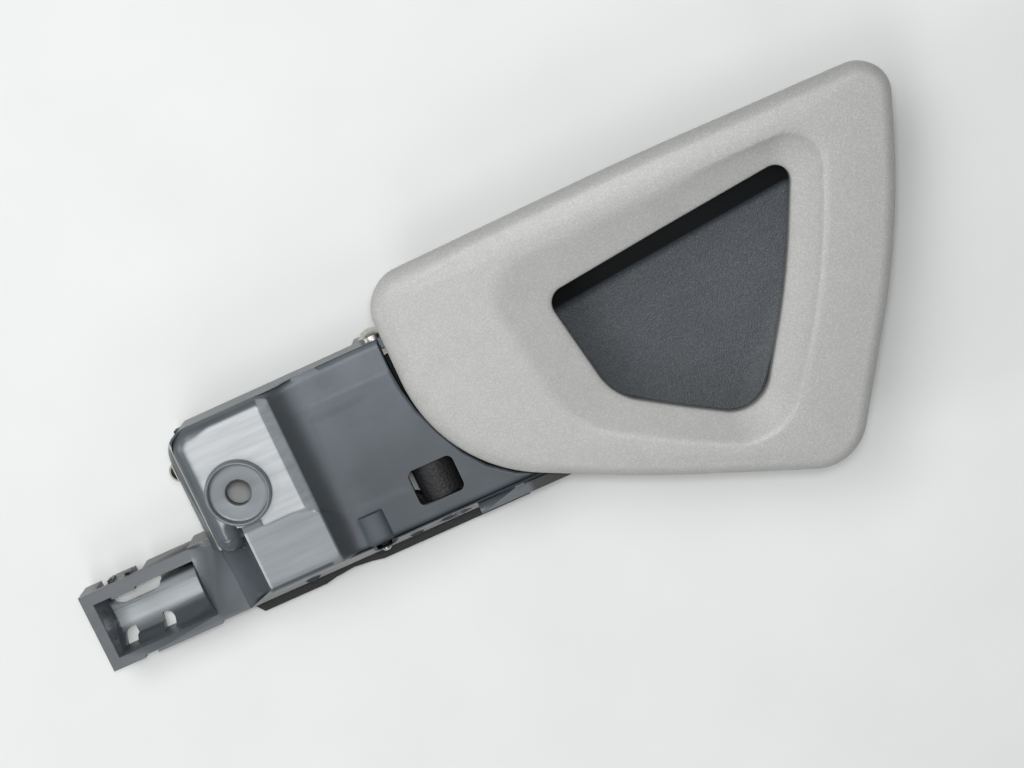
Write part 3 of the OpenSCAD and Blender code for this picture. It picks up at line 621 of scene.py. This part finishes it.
steel("drawn pin steel", (150, 148, 142), (212, 210, 204), 0.22, "hinge_pin", "spring_pin")
steel("spring steel", (96, 95, 90), (150, 148, 143), 0.34,
      "return_spring", "edge_clip", "pin_retainer")
steel("zinc-plated steel", (140, 142, 146), (198, 200, 204), 0.34,
      "frame_screws", "carrier_screws")

# Bushes and washer: natural plastic, moulded true to size and slightly waxy.
# The bushes sit in the side walls and the washer at the barrel's end.
bush_finish = Finish("natural plastic")
haze = bush_finish.noise(300, 2)
bush_finish.feed(Base_Color=bush_finish.mix(haze, tint(196, 190, 172), tint(214, 209, 192)),
                 Roughness=0.4 + 0.1 * haze)
bush_finish.dress(nodes["bush_upper"], nodes["bush_lower"], nodes["thrust_washer"])

# Stops: black rubber, pushed into the flange or bonded to their rib.
# The surface is dull with fine pits.
rubber_finish = Finish("black rubber", Specular_IOR_Level=0.3)
pits = rubber_finish.noise(2200, 3)
rubber_finish.feed(Base_Color=rubber_finish.mix(pits, tint(22, 22, 23), tint(40, 40, 41)),
                   Roughness=0.75 + 0.15 * pits)
rubber_finish.relief(pits, 0.00008)
rubber_finish.dress(nodes["rest_stops"], nodes["travel_stop"])

# Lever: a hollow moulded pull, crowned round its rim and dished round the finger opening.
# It is painted warm light grey with fine metallic flakes, under a satin clear coat, and
# screwed to the black carrier that turns on the hinge pin.
lever_corners = [(47, 33.0, 9.5), (46.8, -14.6, 37), (92, -36.8, 300), (136.9, -54.9, 12.5),
                 (168.0, -5.8, 200), (181.6, 33.2, 7.5), (115, 34.2, 900)]
dish_corners = [(73, 25, 12), (80, -18.5, 22), (101, -32, 200), (121.5, -43.5, 15),
                (146.3, -6.8, 180), (159.0, 24.6, 8.5), (117, 25.3, 900)]
opening_corners = [(85.8, 12.8, 4.0), (90.9, -15.4, 14), (105.5, -24.9, 300),
                   (121.2, -34.4, 9.5), (139.5, -6.2, 180), (151.6, 19.7, 3.6),
                   (117.6, 16.3, 900)]
crown, skirt, wall = 36.8, 28.5, 2.2
rim_radius, rim_drop, crown_rise = 3.2, 0.25, 0.28
dish_depth, dish_soft, lip = 3.2, 0.3, 0.9


def shell_line(inset):
    return outline(lever_corners, inset)


def dish_line(inset):
    return outline(dish_corners, inset)


def hole_line(inset):
    return outline(opening_corners, inset)


def edge_line(inset):
    """The pull's outline moved inwards, and further at the end beside the housing."""
    near, far = shell_line(inset), shell_line(inset * 1.65)
    return near + (far - near) * smooth((80 - near[:, :1]) / 24)


def rounded_rim():
    """Rings up the pull's side and over its rounded rim, then across the crown to the dish."""
    yield lift(edge_line(0.3), skirt)
    yield lift(edge_line(0.08), skirt + 0.15)
    yield lift(edge_line(0), skirt + 0.5)
    for angle in np.radians(np.linspace(0, 90, 17)):
        yield lift(edge_line(rim_radius * (1 - math.cos(angle))),
                   crown - rim_radius * (1 - math.sin(angle)) - rim_drop)
    for s in np.linspace(0.1, 0.88, 8):
        loop = edge_line(rim_radius) + (dish_line(0) - edge_line(rim_radius)) * s
        yield lift(loop, crown - rim_drop + crown_rise * math.sin(math.pi * s / 1.3))


def dished_face(start):
    """Rings down the dish, softly at first, to the rounded lip of the finger opening."""
    outer = dish_line(0) + (edge_line(rim_radius) - dish_line(0)) * 0.12
    for s in np.linspace(0.05, 1, 22):
        share = s ** (1 + 0.8 * smooth((outer[:, :1] - 118) / 26))
        slope = s * s / (2 * dish_soft) if s < dish_soft else s - dish_soft / 2
        height = start - (dish_depth - 0.05) * slope / (1 - dish_soft / 2)
        yield lift(outer + (hole_line(-lip) - outer) * share, height)
    for angle in np.radians(np.linspace(15, 90, 6)):
        yield lift(hole_line(-lip * (1 - math.sin(angle))),
                   height - lip * (1 - math.cos(angle)) - 0.1)


def hollow_back():
    """Rings down the opening's wall and back along the pull's inside to its skirt."""
    deep = crown - dish_depth
    foot = deep - 4.5
    yield lift(hole_line(0), foot + 0.2)
    yield lift(hole_line(-0.2), foot)
    yield lift(hole_line(-wall), foot)
    yield lift(hole_line(-wall), deep - wall)
    yield lift(dish_line(0) + (hole_line(0) - dish_line(0)) * 0.55, deep - wall)
    yield lift(dish_line(-0.5), crown - wall)
    yield lift(shell_line(rim_radius + 3), crown - wall - 0.6)
    yield lift(shell_line(wall + 2.4), crown - wall - 3.2)
    yield lift(shell_line(wall), skirt)


rings = list(rounded_rim())
rings += dished_face(rings[-1][0, 2])
rings += hollow_back()
lever = loft("lever_pull", rings, angle=50)

lever_finish = Finish("light grey flake paint", Coat_Roughness=0.3, Coat_Weight=0.06,
                      Specular_IOR_Level=0.5)
flake = lever_finish.node("ShaderNodeSeparateColor", {},
                          {"Color": lever_finish.cells(5200, "Color")})
cloud = lever_finish.noise(160, 3)
# Painted shade: the pull darkens towards its far end
painted_far_shade = lever_finish.along()[0].above(115, 70)
paint = lever_finish.mix(cloud, tint(153, 153, 151), tint(163, 163, 161))
paint = lever_finish.mix(0.5 * painted_far_shade, paint, tint(143, 143, 141))
paint = lever_finish.mix(0.28 * flake.above(0.72, 0.28), paint, tint(206, 206, 204))
lever_finish.feed(Base_Color=paint, Roughness=0.47 - 0.05 * flake)
lever_finish.relief(flake, 0.000006)
lever_finish.dress(lever)
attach(lever, "lever")
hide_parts("lever_shell")

# Floor and light: a plain pale sheet under soft lamps, places and sizes in metres.
# A large window at the upper side gives the main light, and a small lamp beside the camera,
# a ceiling light and two weaker windows fill in.
bpy.ops.mesh.primitive_plane_add(size=4, location=(0.07, 0, 0))
floor = bpy.context.object
floor.name = "floor"
floor_finish = Finish("pale sheet", Roughness=0.7, Specular_IOR_Level=0.2)
floor_finish.feed(Base_Color=floor_finish.mix(floor_finish.noise(30, 2), tint(214, 216, 215),
                                              tint(222, 224, 223)))
floor_finish.dress(floor)


def lamp(name, place, size, power):
    """A square lamp that points at the handle's middle."""
    data = bpy.data.lights.new(name, "AREA")
    data.size = size
    data.energy = power
    made = bpy.data.objects.new(name, data)
    bpy.context.scene.collection.objects.link(made)
    made.location = place
    aim = Vector((0.06, 0, 0.02)) - Vector(place)
    made.rotation_euler = aim.to_track_quat("-Z", "Y").to_euler()


lamp("upper window", (-0.08, 0.36, 0.82), 0.42, 3.1)
lamp("camera lamp", (0.118, 0.105, 0.60), 0.05, 1.3)
lamp("ceiling light", (-0.22, -0.14, 0.98), 0.3, 1.4)
lamp("lower window", (-0.30, -0.65, 0.85), 0.35, 1.0)
lamp("left window", (-0.58, 0.10, 0.50), 0.2, 1.15)
world = bpy.data.worlds.new("room")
world.use_nodes = True
world.node_tree.nodes["Background"].inputs["Color"].default_value = (1, 1, 1, 1)
world.node_tree.nodes["Background"].inputs["Strength"].default_value = 0.25
bpy.context.scene.world = world

# Camera: nearly overhead, leant back and turned so that the handle rises to the right.
camera_place = (0.109726, 0.083598, 0.571492)
roll, tilt = math.radians(24.5), math.radians(10)
camera_data = bpy.data.cameras.new("camera")
camera_data.lens = 81.7
camera_data.sensor_width = 36
camera_data.clip_end = 10
camera = bpy.data.objects.new("camera", camera_data)
bpy.context.scene.collection.objects.link(camera)
up = Vector((0, 0, 1))
right = Vector((math.cos(roll), -math.sin(roll), 0))
upward = Vector((math.sin(roll), math.cos(roll), 0))
back = math.sin(tilt) * upward + math.cos(tilt) * up
top = math.cos(tilt) * upward - math.sin(tilt) * up
camera.matrix_world = (Matrix.Translation(camera_place)
                       @ Matrix((right, top, back)).transposed().to_4x4())
bpy.context.scene.camera = camera
bpy.context.scene.view_settings.view_transform = "Standard"
